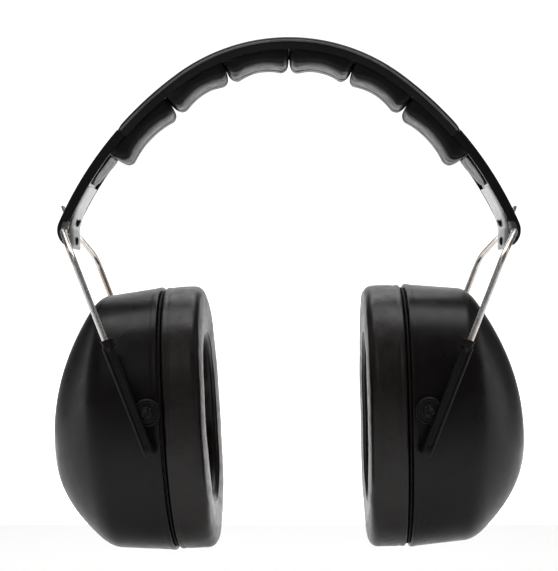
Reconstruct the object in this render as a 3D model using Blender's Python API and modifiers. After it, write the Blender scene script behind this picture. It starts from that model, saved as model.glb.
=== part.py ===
"""Folding hearing protection earmuffs: a sprung headband, two wire yokes and two padded ear cups.

Metres, +Z up. X runs from the left cup to the right cup, and +Y towards the back of the head.
The origin is midway between the two ear cushions, at the height of the cups' middles.
"""

from math import ceil, copysign, cos, pi, radians, sin, sqrt, tan

import bmesh
import bpy
from mathutils import Matrix, Vector

MM = 0.001
GAP = 0.3 * MM
TINY = 0.01 * MM

# Headband. Its outer line is a chain of arcs, each a radius and a turn, from the crown to the end lip.
BAND_ARCS = ((77.0 * MM, radians(36.3)), (148.9 * MM, radians(30.1)), (8.0 * MM, radians(80.0)))
CROWN_Z = 155.5 * MM
BAND_HALF_WIDTH = 17.6 * MM
WALL = 1.6 * MM
CHANNEL_HALF_WIDTH = BAND_HALF_WIDTH - WALL
ARC_STEP = 7.0 * MM
LIP_STEP = 1.6 * MM
LIP_START = BAND_ARCS[0][0] * BAND_ARCS[0][1] + BAND_ARCS[1][0] * BAND_ARCS[1][1]
LIP_END = LIP_START + BAND_ARCS[2][0] * BAND_ARCS[2][1]
COVER_END = 82.0 * MM
COVER_SKIN = 1.8 * MM
COVER_DEPTH = 5.0 * MM
CAP_OUTER = 0.4 * MM
CAP_WEB_INNER = 2.0 * MM
CAP_DEPTH = 4.4 * MM
CAP_FLANGE_END = LIP_START - 1.6 * MM
SPRING_TOP = 2.3 * MM
SPRING_THICKNESS = 0.9 * MM
SPRING_HALF_WIDTH = 15.0 * MM
SPRING_END = 119.2 * MM

# Headband pads, three on each side of the crown, and a tapered end pad after them.
PAD_EDGES = (0.0, 29.2 * MM, 58.4 * MM, 91.9 * MM)
PAD_CREASE = 0.3 * MM
PAD_TOP = SPRING_TOP + SPRING_THICKNESS + GAP
PAD_WAIST = 11.2 * MM
PAD_END_DEPTH = 13.6 * MM
PAD_CORNER = 4.2 * MM
PAD_CORNER_DROP = 6.2 * MM
PAD_HALF_WIDTH = 15.6 * MM
PAD_POINTS = 12
END_PAD_TIP = 106.6 * MM
END_PAD_DEPTHS = (5.4 * MM, 4.4 * MM)
END_PAD_HALF_WIDTH = 13.5 * MM
END_PAD_TAPER = 1.6
END_PAD_STEP = 2.5 * MM

# Hinge at each end of the headband: a steel clip and two rivets hold the wire's crossbar.
HINGE_INSET = 3.6 * MM
HINGE_RUN = LIP_START + 4.2 * MM
CLIP_HALF_WIDTH = 15.0 * MM
CLIP_THICKNESS = 0.9 * MM
CLIP_START = 107.6 * MM
CLIP_STEP = 5.0 * MM
CLIP_LEAD = 1.6 * MM
TONGUE_LENGTH = 7.0 * MM
TONGUE_LEAN = 0.3 * MM
RIVET_OFFSET = 7.2 * MM
RIVET_GRIPS = {"upper": 3.4 * MM, "lower": 1.5 * MM}
RIVET_SHANK = 1.1 * MM
RIVET_HEAD = 1.8 * MM
RIVET_HEAD_HEIGHT = 0.8 * MM
RIVET_HOLE = 1.5 * MM
RIVET_CROWN = 0.6
RIVET_EDGE = 0.5
LOWER_RIVET_OUT = -1.3 * MM
LOWER_RIVET_DROP = 3.4 * MM
TAB_HALF_WIDTH = 4.0 * MM
TAB_RUN = 122.2 * MM
TAB_REACH = 2.4 * MM
TAB_RISE = 2.0 * MM
TAB_THICKNESS = 0.8 * MM
TAB_FOOT = 3.0 * MM
TAB_BEND = 0.45
TAB_SPREAD = 0.75

# Wire yokes. Each arm runs straight, down and inwards, through the sleeve on its side of the cup.
WIRE_RADIUS = 1.25 * MM
ARM_LEAN = radians(21.3)
ARM_X_HEIGHT = 48.6 * MM
ARM_X = {-1: 77.8 * MM, 1: 76.8 * MM}
ARM_Y = 46.5 * MM
ARM_TOP = 67.5 * MM
ARM_BOTTOM = 1.0 * MM
CROSSBAR_HALF = 25.5 * MM
WIRE_BEND = 6.0 * MM
BEND_STEPS = 5

# Sleeves: moulded bars that slide on the arms, each with a round ear for the cup's pivot.
SLEEVE_TOP = 32.4 * MM
SLEEVE_BOTTOM = -12.0 * MM
SLEEVE_WIDTH = 4.2 * MM
SLEEVE_THICKNESS = 5.4 * MM
SLEEVE_ROUNDING = 0.8 * MM
SLEEVE_BORE = 1.5 * MM
COLLAR_WIDTH = 4.8 * MM
COLLAR_OFFSET = 0.7 * MM
COLLAR_THICKNESS = 6.0 * MM
COLLAR_HEIGHT = 3.4 * MM
COLLAR_RISE = 0.5 * MM
GROOVE_WIDTH = 2.0 * MM
GROOVE_DEPTH = 0.6 * MM
GROOVE_MARGIN = 4.5 * MM
EAR_RADIUS = 5.4 * MM
EAR_THICKNESS = 2.0 * MM
EAR_Y = 43.9 * MM
EAR_HOLE = 2.2 * MM
PIVOT_X = {-1: 55.5 * MM, 1: 54.7 * MM}
STUD_SHANK = 1.9 * MM
STUD_HEAD = 2.4 * MM
STUD_HEAD_HEIGHT = 1.5 * MM
STUD_CROWN = 0.75
STUD_EDGE = 0.4
STUD_INNER_Y = 43.3 * MM

# Ear cups. In a cup's own frame +X points outwards from the seam, and the oval's middle is at zero.
OVAL_POWER = 2.35
CUP_HALF_WIDTH = 43.0 * MM
CUP_HALF_HEIGHT = 54.2 * MM
CUP_POINTS = 40
SHELL_THICKNESS = 2.4 * MM
SHELL_WALL_DEPTH = 26.0 * MM
SHELL_DEPTH = 48.8 * MM
SHELL_EDGE_SCALE = 0.955
SHELL_APEX_DROP = 11.0 * MM
SHELL_EDGE_ROUNDING = 3.0 * MM
DOME_POWER = 2.15
DOME_RINGS = 8
DOME_FIRST_RING = 0.25
PLATE_SCALE = 0.975
PLATE_THICKNESS = 1.0 * MM
HOLE_HALF_WIDTH = 22.0 * MM
HOLE_HALF_HEIGHT = 33.0 * MM
CUSHION_THICKNESS = 16.0 * MM
CUSHION_ROUNDING = 6.0 * MM
CUSHION_BACK_ROUNDING = 2.0 * MM
CORNER_STEPS = 4
LINER_HALF_WIDTH = 33.0 * MM
LINER_HALF_HEIGHT = 44.0 * MM
LINER_THICKNESS = 14.0 * MM
LINER_SETBACK = 4.0 * MM

# How each cup sits at rest: its seam's middle, its lean about Y, its turn towards the front, its pivot.
CUPS = {
    "left": {"side": -1, "seam": (-48.6 * MM, 0.0, -0.2 * MM), "lean": radians(3.5),
             "turn": radians(180.0 - 3.0), "pivot_z": 4.6 * MM},
    "right": {"side": 1, "seam": (48.2 * MM, 0.0, 1.1 * MM), "lean": radians(-1.2),
              "turn": radians(0.5), "pivot_z": 5.4 * MM},
}

# Turns a flat outline's own axes into the plane it lies in.
ACROSS_BAND = Matrix(((1, 0, 0, 0), (0, 0, -1, 0), (0, 1, 0, 0), (0, 0, 0, 1)))
ACROSS_CUP = Matrix(((0, 0, 1, 0), (1, 0, 0, 0), (0, 1, 0, 0), (0, 0, 0, 1)))

BLACK_PLASTIC = ((0.018, 0.016, 0.016), 0.45, 0.0)
DARK_COVER = ((0.03, 0.03, 0.032), 0.6, 0.0)
SOFT_PAD = ((0.012, 0.011, 0.012), 0.5, 0.0)
CUSHION_SKIN = ((0.02, 0.018, 0.017), 0.42, 0.0)
GREY_FOAM = ((0.03, 0.025, 0.022), 0.95, 0.0)
SPRING_STEEL = ((0.62, 0.62, 0.64), 0.3, 1.0)
BRIGHT_WIRE = ((0.75, 0.74, 0.73), 0.18, 1.0)


def clear_scene():
    for item in list(bpy.data.objects):
        bpy.data.objects.remove(item)


def new_collection(name):
    group = bpy.data.collections.new(name)
    bpy.context.scene.collection.children.link(group)
    return group


clear_scene()
PARTS = new_collection("hearing_protection_earmuffs")
CUTTERS = new_collection("cutters")


def add_object(name, mesh, group=None):
    item = bpy.data.objects.new(name, mesh)
    (group or PARTS).objects.link(item)
    return item


def empty_at(name, location, parent=None):
    """A parent on a joint's axis. The location is in world axes, and no empty is turned."""
    item = add_object(name, None)
    item.location = Vector(location)
    if parent is not None:
        item.parent = parent
        item.location -= world_place(parent)
    return item


def world_place(item):
    place = item.location.copy()
    while item.parent is not None:
        item = item.parent
        place += item.location
    return place


def attach(item, parent, world_location=None):
    """Hangs an item on an empty, keeping its own turn, at a place given in world axes."""
    item.parent = parent
    if world_location is not None:
        item.location = Vector(world_location) - world_place(parent)


def set_material(item, finish):
    colour, roughness, metallic = finish
    material = bpy.data.materials.new(item.name)
    material.use_nodes = True
    shader = material.node_tree.nodes["Principled BSDF"]
    shader.inputs["Base Color"].default_value = (*colour, 1.0)
    shader.inputs["Roughness"].default_value = roughness
    shader.inputs["Metallic"].default_value = metallic
    item.data.materials.append(material)


def shade_round(item, sharp_angle=40.0):
    item.data.shade_smooth()
    item.data.set_sharp_from_angle(angle=radians(sharp_angle))


def mesh_from_curve(curve, name):
    """The closed mesh of a curve, with its loose caps welded to its sides."""
    source = add_object(name + "_curve", curve)
    bpy.context.view_layer.update()
    depsgraph = bpy.context.evaluated_depsgraph_get()
    mesh = bpy.data.meshes.new_from_object(source.evaluated_get(depsgraph))
    mesh.name = name
    work = bmesh.new()
    work.from_mesh(mesh)
    bmesh.ops.remove_doubles(work, verts=work.verts, dist=0.001 * MM)
    bmesh.ops.recalc_face_normals(work, faces=work.faces)
    work.to_mesh(mesh)
    work.free()
    bpy.data.objects.remove(source)
    return mesh


def slab(name, outlines, half_depth, plane, group=None):
    """A flat piece: outlines of pairs, filled between them and given a thickness across their plane."""
    curve = bpy.data.curves.new(name, "CURVE")
    curve.dimensions = "2D"
    curve.fill_mode = "BOTH"
    curve.extrude = half_depth
    for outline in outlines:
        spline = curve.splines.new("POLY")
        spline.points.add(len(outline) - 1)
        for point, (first, second) in zip(spline.points, outline):
            point.co = (first, second, 0.0, 1.0)
        spline.use_cyclic_u = True
    mesh = mesh_from_curve(curve, name)
    mesh.transform(plane)
    return add_object(name, mesh, group)


def mesh_object(name, work, group=None):
    mesh = bpy.data.meshes.new(name)
    work.to_mesh(mesh)
    work.free()
    return add_object(name, mesh, group)


def box(name, size, centre, group=None):
    work = bmesh.new()
    bmesh.ops.create_cube(work, size=1.0, matrix=Matrix.Translation(centre) @ Matrix.Diagonal((*size, 1.0)))
    return mesh_object(name, work, group)


def cylinder(name, radius, low, high, sides=24, group=None):
    """A cylinder between two points."""
    low = Vector(low)
    high = Vector(high)
    turn = (high - low).to_track_quat("Z", "Y").to_matrix().to_4x4()
    work = bmesh.new()
    bmesh.ops.create_cone(work, cap_ends=True, segments=sides, radius1=radius, radius2=radius,
                          depth=(high - low).length, matrix=Matrix.Translation((low + high) / 2) @ turn)
    return mesh_object(name, work, group)


def as_helper(item):
    item.hide_render = True
    item.display_type = "WIRE"
    return item


def combine(item, helper, operation):
    """Cuts a helper out of an item, or joins it on."""
    as_helper(helper)
    step = item.modifiers.new(helper.name, "BOOLEAN")
    step.operation = operation
    step.object = helper
    step.solver = "EXACT"


def loft(name, rings, close_round=False, pole=None):
    """Quads between rings of points, with a fan to a pole, or a last strip back to the first ring."""
    work = bmesh.new()
    rows = [[work.verts.new(point) for point in ring] for ring in rings]
    pairs = list(zip(rows, rows[1:]))
    if close_round:
        pairs.append((rows[-1], rows[0]))
    count = len(rows[0])
    for low, high in pairs:
        for i in range(count):
            j = (i + 1) % count
            work.faces.new((low[i], low[j], high[j], high[i]))
    if pole is not None:
        tip = work.verts.new(pole)
        for i in range(count):
            work.faces.new((rows[-1][i], rows[-1][(i + 1) % count], tip))
    if close_round:
        bmesh.ops.recalc_face_normals(work, faces=work.faces)
    return mesh_object(name, work)


def rounded_path(corners, radius, steps):
    """The corners of a wire's route, each but the first and last turned into an arc-like bend."""
    path = [Vector(corners[0])]
    for before, corner, after in zip(corners, corners[1:], corners[2:]):
        corner = Vector(corner)
        start = corner + (Vector(before) - corner).normalized() * radius
        end = corner + (Vector(after) - corner).normalized() * radius
        for i in range(steps + 1):
            t = i / steps
            path.append((1 - t) ** 2 * start + 2 * t * (1 - t) * corner + t ** 2 * end)
    path.append(Vector(corners[-1]))
    return path


def round_bar(name, path, radius):
    """A wire along a path of points."""
    curve = bpy.data.curves.new(name, "CURVE")
    curve.dimensions = "3D"
    curve.bevel_depth = radius
    curve.bevel_resolution = 2
    curve.use_fill_caps = True
    spline = curve.splines.new("POLY")
    spline.points.add(len(path) - 1)
    for point, place in zip(spline.points, path):
        point.co = (*place, 1.0)
    return add_object(name, mesh_from_curve(curve, name))


# ---- Headband ----

def band_point(run, inset=0.0):
    """The X and Z at a run along the band's outer line from the crown, moved in by an inset."""
    side = copysign(1.0, run)
    rest = abs(run)
    angle = 0.0
    centre = Vector((0.0, CROWN_Z - BAND_ARCS[0][0]))
    for (radius, turn), following in zip(BAND_ARCS, BAND_ARCS[1:]):
        if rest <= radius * turn:
            break
        rest -= radius * turn
        angle += turn
        centre += (radius - following[0]) * Vector((sin(angle), cos(angle)))
    else:
        radius = BAND_ARCS[-1][0]
    angle += rest / radius
    reach = radius - inset
    return (side * (centre.x + reach * sin(angle)), centre.y + reach * cos(angle))


def runs(start, end, step=ARC_STEP):
    count = max(1, ceil(abs(end - start) / step - TINY))
    return [start + (end - start) * i / count for i in range(count + 1)]


def band_outline(start, end, outer, inner):
    """The outline of a layer of the band, between two runs and two insets."""
    along = runs(start, end)
    outline = [band_point(run, outer) for run in along]
    outline += [band_point(run, inner) for run in reversed(along)]
    return outline


def make_cover():
    """The upholstered outer strip, a channel over the spring."""
    cover = slab("headband_cover", [band_outline(-COVER_END, COVER_END, 0.0, COVER_DEPTH)],
                 BAND_HALF_WIDTH, ACROSS_BAND)
    inside = band_outline(-COVER_END - MM, COVER_END + MM, COVER_SKIN, COVER_DEPTH + MM)
    combine(cover, slab("cover_inside", [inside], CHANNEL_HALF_WIDTH, ACROSS_BAND, CUTTERS), "DIFFERENCE")
    set_material(cover, DARK_COVER)


def make_spring():
    """The steel strip that presses the cups to the head."""
    outline = band_outline(-SPRING_END, SPRING_END, SPRING_TOP, SPRING_TOP + SPRING_THICKNESS)
    spring = slab("headband_spring", [outline], SPRING_HALF_WIDTH, ACROSS_BAND)
    set_material(spring, SPRING_STEEL)


def pad_depth(along, length):
    """How far a pad reaches in: thin at its waist, thick near its ends, with rounded corners."""
    spread = (2.0 * along / length - 1.0) ** 2
    depth = PAD_WAIST + (PAD_END_DEPTH - PAD_WAIST) * spread
    edge = min(along, length - along)
    if edge < PAD_CORNER:
        depth -= PAD_CORNER_DROP * (1.0 - sqrt(1.0 - (1.0 - edge / PAD_CORNER) ** 2))
    return depth


def make_pad(name, start, end):
    length = end - start
    top = [band_point(run, PAD_TOP) for run in runs(start, end)]
    along = [length * (1.0 - cos(pi * i / PAD_POINTS)) / 2.0 for i in range(PAD_POINTS + 1)]
    inner = [band_point(start + a, pad_depth(a, length)) for a in reversed(along)]
    set_material(slab(name, [top + inner], PAD_HALF_WIDTH, ACROSS_BAND), SOFT_PAD)


def make_pads():
    """Six pads, numbered from the left."""
    edges = [-edge for edge in reversed(PAD_EDGES)] + list(PAD_EDGES[1:])
    for number, (start, end) in enumerate(zip(edges, edges[1:]), 1):
        make_pad(f"headband_pad_{number}", start + PAD_CREASE / 2, end - PAD_CREASE / 2)


def make_end_pad(name, side):
    """The flap after the last pad, which thins out towards the hinge."""
    start = PAD_EDGES[-1] + PAD_CREASE / 2
    length = END_PAD_TIP - start
    thick, thin = END_PAD_DEPTHS
    along = runs(0.0, length, END_PAD_STEP)
    top = [band_point(side * (start + a), PAD_TOP) for a in along]
    inner = [band_point(side * (start + a), thick + (thin - thick) * (a / length) ** END_PAD_TAPER)
             for a in reversed(along)]
    set_material(slab(name, [top + inner], END_PAD_HALF_WIDTH, ACROSS_BAND), SOFT_PAD)


def make_end_cap(name, side):
    """The moulded channel at a band's end, with the lip that curls round outside the hinge."""
    start = COVER_END + GAP
    web = runs(start, LIP_START) + runs(LIP_START, LIP_END, LIP_STEP)[1:]
    outline = [band_point(side * run, CAP_OUTER) for run in web]
    outline += [band_point(side * run, CAP_WEB_INNER) for run in reversed(web) if run > CAP_FLANGE_END]
    flange = runs(start, CAP_FLANGE_END)
    outline.append(band_point(side * CAP_FLANGE_END, CAP_WEB_INNER))
    outline += [band_point(side * run, CAP_DEPTH) for run in reversed(flange)]
    cap = slab(name, [outline], BAND_HALF_WIDTH, ACROSS_BAND)
    inside = band_outline(side * (start - MM), side * LIP_START, CAP_WEB_INNER, CAP_DEPTH + MM)
    combine(cap, slab(name + "_inside", [inside], CHANNEL_HALF_WIDTH, ACROSS_BAND, CUTTERS), "DIFFERENCE")
    set_material(cap, BLACK_PLASTIC)


def thick_line(points, thickness):
    """The outline of a bent strip: a chain of points moved half a thickness to each side."""
    left = []
    right = []
    for i, point in enumerate(points):
        before = Vector(points[max(i - 1, 0)])
        after = Vector(points[min(i + 1, len(points) - 1)])
        ahead = (after - before).normalized()
        aside = Vector((-ahead.y, ahead.x)) * thickness / 2.0
        left.append(tuple(Vector(point) + aside))
        right.append(tuple(Vector(point) - aside))
    return left + right[::-1]


def inward_at_hinge(side):
    """The direction from the band's outer line to the head, at the hinge."""
    outer = Vector(band_point(side * HINGE_RUN))
    inner = Vector(band_point(side * HINGE_RUN, MM))
    return (inner - outer).normalized()


def down_at_hinge(side):
    """The direction along the band's outer line, away from the crown, at the hinge."""
    inward = inward_at_hinge(side)
    return side * Vector((-inward.y, inward.x))


def clip_line(side):
    """The middle line of the steel clip: along under the spring, past the crossbar, down as a tongue."""
    seat = SPRING_TOP + SPRING_THICKNESS + GAP + CLIP_THICKNESS / 2
    hinge = Vector(band_point(side * HINGE_RUN, HINGE_INSET))
    clear = inward_at_hinge(side) * (WIRE_RADIUS + GAP + CLIP_THICKNESS / 2)
    back_up = down_at_hinge(side) * -CLIP_LEAD
    line = [band_point(side * run, seat) for run in runs(CLIP_START, SPRING_END, CLIP_STEP)]
    line.append(tuple(hinge + clear + back_up))
    line.append(tuple(hinge + clear))
    tongue = Vector((-side * TONGUE_LEAN, -TONGUE_LENGTH))
    line.append(tuple(hinge + clear + tongue / 2))
    line.append(tuple(hinge + clear + tongue))
    return line


def rivet_axis(side, place):
    """A rivet's foot at the end cap and its direction towards the head, in X and Z."""
    if place == "upper":
        run = side * (HINGE_RUN - RIVET_OFFSET)
        foot = Vector(band_point(run, CAP_WEB_INNER + GAP))
        return foot, (Vector(band_point(run, CAP_DEPTH)) - foot).normalized()
    hinge = Vector(band_point(side * HINGE_RUN, HINGE_INSET))
    return hinge + Vector((side * LOWER_RIVET_OUT, -LOWER_RIVET_DROP)), Vector((-side, 0.0))


def make_clip(name, side):
    """The steel strip that covers the crossbar, with a hole for each rivet."""
    clip = slab(name, [thick_line(clip_line(side), CLIP_THICKNESS)], CLIP_HALF_WIDTH, ACROSS_BAND)
    for place in RIVET_GRIPS:
        foot, ahead = rivet_axis(side, place)
        end = foot + ahead * 2.0 * CAP_DEPTH
        hole = cylinder(f"{name}_{place}_hole", RIVET_HOLE, (foot.x, 0.0, foot.y), (end.x, 0.0, end.y), 16,
                        CUTTERS)
        combine(clip, hole, "DIFFERENCE")
    set_material(clip, SPRING_STEEL)


def make_rivet(name, side, place):
    """A turned rivet that keeps the crossbar in its place under the clip."""
    foot, ahead = rivet_axis(side, place)
    grip = RIVET_GRIPS[place]
    top = grip + RIVET_HEAD_HEIGHT
    profile = ((0.0, top), (RIVET_HEAD * RIVET_CROWN, top),
               (RIVET_HEAD, top - RIVET_HEAD_HEIGHT * RIVET_EDGE), (RIVET_HEAD, grip),
               (RIVET_SHANK, grip), (RIVET_SHANK, 0.0), (0.0, 0.0))
    rivet = turned(name, profile, 16)
    rivet.rotation_mode = "QUATERNION"
    rivet.rotation_quaternion = Vector((ahead.x, 0.0, ahead.y)).to_track_quat("Z", "Y")
    rivet.location = (foot.x, 0.0, foot.y)
    set_material(rivet, BLACK_PLASTIC)


def turned(name, profile, steps):
    """A round piece: a profile of radius and height pairs, from its top to its bottom, turned about Z."""
    work = bmesh.new()
    points = [work.verts.new((radius, 0.0, height)) for radius, height in profile]
    for upper, lower in zip(points, points[1:]):
        work.edges.new((upper, lower))
    item = mesh_object(name, work)
    screw = item.modifiers.new("turn", "SCREW")
    screw.steps = steps
    screw.render_steps = steps
    screw.use_merge_vertices = True
    screw.merge_threshold = 0.001 * MM
    return item


def make_lock_tab(name, side):
    """The small bent steel tab that stands out from the end cap above the hinge."""
    root = Vector(band_point(side * TAB_RUN, CAP_OUTER - GAP - TAB_THICKNESS / 2))
    outward = Vector(band_point(side * TAB_RUN, -MM)) - Vector(band_point(side * TAB_RUN))
    outward.normalize()
    foot = Vector(band_point(side * (TAB_RUN - TAB_FOOT), CAP_OUTER - GAP - TAB_THICKNESS / 2))
    bend = root + outward * TAB_REACH * TAB_BEND
    tip = root + outward * TAB_REACH * TAB_SPREAD + Vector((0.0, TAB_RISE))
    line = [tuple(foot), tuple(root), tuple(bend), tuple(tip)]
    set_material(slab(name, [thick_line(line, TAB_THICKNESS)], TAB_HALF_WIDTH, ACROSS_BAND), SPRING_STEEL)


# ---- Wire yokes and sleeves ----

def arm_point(side, front, height):
    """The point of an arm's straight stretch at a height. Front is -1 for the front arm, 1 for the rear."""
    x = side * (ARM_X[side] - (ARM_X_HEIGHT - height) * tan(ARM_LEAN))
    return Vector((x, front * ARM_Y, height))


def hinge_place(side):
    x, z = band_point(side * HINGE_RUN, HINGE_INSET)
    return Vector((x, 0.0, z))


def make_wire(name, side, hinge):
    """One bent wire: the crossbar in the hinge, two shoulders and two straight arms."""
    place = hinge_place(side)
    corners = [arm_point(side, -1, ARM_BOTTOM), arm_point(side, -1, ARM_TOP),
               place + Vector((0.0, -CROSSBAR_HALF, 0.0)), place + Vector((0.0, CROSSBAR_HALF, 0.0)),
               arm_point(side, 1, ARM_TOP), arm_point(side, 1, ARM_BOTTOM)]
    path = [point - place for point in rounded_path(corners, WIRE_BEND, BEND_STEPS)]
    wire = round_bar(name, path, WIRE_RADIUS)
    attach(wire, hinge, place)
    shade_round(wire)
    set_material(wire, BRIGHT_WIRE)


def make_sleeve(name, side, front, slide, pivot_z):
    """A sliding bar on one arm. In its own frame Z runs up the arm and the origin is at its middle."""
    middle = (SLEEVE_TOP + SLEEVE_BOTTOM) / 2
    place = arm_point(side, front, middle)
    length = (SLEEVE_TOP - SLEEVE_BOTTOM) / cos(ARM_LEAN)
    pivot = Vector((side * PIVOT_X[side], front * ARM_Y, pivot_z)) - place
    pivot.rotate(Matrix.Rotation(-side * ARM_LEAN, 3, "Y"))
    ear_low = front * (EAR_Y - ARM_Y)
    ear_high = front * (EAR_Y + EAR_THICKNESS - ARM_Y)

    sleeve = box(name, (SLEEVE_WIDTH, SLEEVE_THICKNESS, length), (0.0, 0.0, 0.0))
    rounding = sleeve.modifiers.new("edges", "BEVEL")
    rounding.width = SLEEVE_ROUNDING
    rounding.segments = 2
    collar_z = length / 2 - COLLAR_HEIGHT / 2 + COLLAR_RISE
    collar = box(name + "_collar", (COLLAR_WIDTH, COLLAR_THICKNESS, COLLAR_HEIGHT),
                 (-side * COLLAR_OFFSET, 0.0, collar_z), CUTTERS)
    combine(sleeve, collar, "UNION")
    ear = cylinder(name + "_ear", EAR_RADIUS, (pivot.x, ear_low, pivot.z), (pivot.x, ear_high, pivot.z), 28,
                   CUTTERS)
    combine(sleeve, ear, "UNION")
    bore = cylinder(name + "_bore", SLEEVE_BORE, (0.0, 0.0, -length), (0.0, 0.0, length), 16, CUTTERS)
    combine(sleeve, bore, "DIFFERENCE")
    hole = cylinder(name + "_ear_hole", EAR_HOLE, (pivot.x, ear_low - front * MM, pivot.z),
                    (pivot.x, ear_high + front * MM, pivot.z), 20, CUTTERS)
    combine(sleeve, hole, "DIFFERENCE")
    groove_y = front * (SLEEVE_THICKNESS / 2)
    groove = box(name + "_groove", (GROOVE_WIDTH, 2 * GROOVE_DEPTH, length - 2 * GROOVE_MARGIN),
                 (0.0, groove_y, 0.0), CUTTERS)
    combine(sleeve, groove, "DIFFERENCE")
    for item in (sleeve, collar, ear, bore, hole, groove):
        item.rotation_euler = (0.0, side * ARM_LEAN, 0.0)
        attach(item, slide, place)
    set_material(sleeve, BLACK_PLASTIC)


def make_stud(name, front, pivot):
    """The turned pivot stud that holds a cup to a sleeve's ear."""
    ear_outer = EAR_Y + EAR_THICKNESS + GAP - STUD_INNER_Y
    height = ear_outer + STUD_HEAD_HEIGHT
    profile = ((0.0, height), (STUD_HEAD * STUD_CROWN, height),
               (STUD_HEAD, height - STUD_HEAD_HEIGHT * STUD_EDGE), (STUD_HEAD, ear_outer),
               (STUD_SHANK, ear_outer), (STUD_SHANK, 0.0), (0.0, 0.0))
    stud = turned(name, profile, 20)
    stud.rotation_euler = (-front * pi / 2, 0.0, 0.0)
    stud.location = (0.0, front * STUD_INNER_Y, 0.0)
    stud.parent = pivot
    set_material(stud, BLACK_PLASTIC)


# ---- Ear cups ----

def oval(half_width, half_height, count=CUP_POINTS):
    """Y and Z pairs round an oval that is a little squarer than an ellipse."""
    pairs = []
    for i in range(count):
        angle = 2.0 * pi * i / count
        y = copysign(abs(cos(angle)) ** (2.0 / OVAL_POWER), cos(angle))
        z = copysign(abs(sin(angle)) ** (2.0 / OVAL_POWER), sin(angle))
        pairs.append((half_width * y, half_height * z))
    return pairs


def make_shell(name):
    """The deep moulded shell: a drafted wall and a dome whose top lies below the middle."""
    rim = oval(CUP_HALF_WIDTH, CUP_HALF_HEIGHT)
    edge_start = 1.0 - (1.0 - SHELL_EDGE_SCALE) * (1.0 - SHELL_EDGE_ROUNDING / SHELL_WALL_DEPTH)
    stages = [(0.0, 1.0, 0.0), (SHELL_WALL_DEPTH - SHELL_EDGE_ROUNDING, edge_start, 0.0)]
    for i in range(DOME_RINGS):
        shrink = 1.0 - (i + DOME_FIRST_RING) / DOME_RINGS
        depth = SHELL_WALL_DEPTH + (SHELL_DEPTH - SHELL_WALL_DEPTH) * (1.0 - shrink ** DOME_POWER)
        stages.append((depth, SHELL_EDGE_SCALE * shrink, SHELL_APEX_DROP * (1.0 - shrink)))
    rings = [[(depth, scale * y, scale * z - drop) for y, z in rim] for depth, scale, drop in stages]
    shell = loft(name, rings, pole=(SHELL_DEPTH, 0.0, -SHELL_APEX_DROP))
    wall = shell.modifiers.new("wall", "SOLIDIFY")
    wall.thickness = SHELL_THICKNESS
    wall.offset = -1.0
    wall.use_even_offset = True
    shade_round(shell)
    set_material(shell, BLACK_PLASTIC)
    return shell


def make_plate(name):
    """The sealing plate that the cushion clips to, set in a little so that a groove shows."""
    rings = [oval(PLATE_SCALE * CUP_HALF_WIDTH, PLATE_SCALE * CUP_HALF_HEIGHT),
             oval(HOLE_HALF_WIDTH, HOLE_HALF_HEIGHT)]
    plate = slab(name, rings, PLATE_THICKNESS / 2, ACROSS_CUP)
    plate.data.transform(Matrix.Translation((-GAP - PLATE_THICKNESS / 2, 0.0, 0.0)))
    set_material(plate, BLACK_PLASTIC)
    return plate


def cushion_section():
    """The cushion's cross-section, as shares of the way from rim to hole, and depths from the plate."""
    span = CUP_HALF_WIDTH - HOLE_HALF_WIDTH
    corners = ((CUSHION_BACK_ROUNDING, CUSHION_BACK_ROUNDING, CUSHION_BACK_ROUNDING, pi),
               (CUSHION_ROUNDING, CUSHION_THICKNESS - CUSHION_ROUNDING, CUSHION_ROUNDING, pi / 2),
               (span - CUSHION_ROUNDING, CUSHION_THICKNESS - CUSHION_ROUNDING, CUSHION_ROUNDING, 0.0),
               (span - CUSHION_BACK_ROUNDING, CUSHION_BACK_ROUNDING, CUSHION_BACK_ROUNDING, -pi / 2))
    section = []
    for across, depth, radius, start in corners:
        for i in range(CORNER_STEPS + 1):
            angle = start + pi / 2 - pi / 2 * i / CORNER_STEPS
            section.append(((across + radius * cos(angle)) / span, depth + radius * sin(angle)))
    return section


def make_cushion(name):
    """The soft ring that seals round the ear, as a plain closed solid."""
    rim = oval(CUP_HALF_WIDTH, CUP_HALF_HEIGHT)
    hole = oval(HOLE_HALF_WIDTH, HOLE_HALF_HEIGHT)
    back = -2 * GAP - PLATE_THICKNESS
    rings = []
    for share, depth in cushion_section():
        rings.append([(back - depth, y + (v - y) * share, z + (w - z) * share)
                      for (y, z), (v, w) in zip(rim, hole)])
    cushion = loft(name, rings, close_round=True)
    shade_round(cushion)
    set_material(cushion, CUSHION_SKIN)
    return cushion


def make_liner(name):
    """The block of sound-absorbing foam inside the shell."""
    liner = slab(name, [oval(LINER_HALF_WIDTH, LINER_HALF_HEIGHT)], LINER_THICKNESS / 2, ACROSS_CUP)
    liner.data.transform(Matrix.Translation((LINER_SETBACK + LINER_THICKNESS / 2, 0.0, 0.0)))
    set_material(liner, GREY_FOAM)
    return liner


def make_cup(name, cup, pivot):
    pieces = (make_shell(name + "_cup_shell"), make_plate(name + "_seal_plate"),
              make_cushion(name + "_ear_cushion"), make_liner(name + "_foam_liner"))
    for piece in pieces:
        piece.rotation_euler = (0.0, cup["lean"], cup["turn"])
        attach(piece, pivot, cup["seam"])
    for place, front in (("front", -1), ("rear", 1)):
        make_stud(f"{name}_{place}_pivot_stud", front, pivot)


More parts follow.
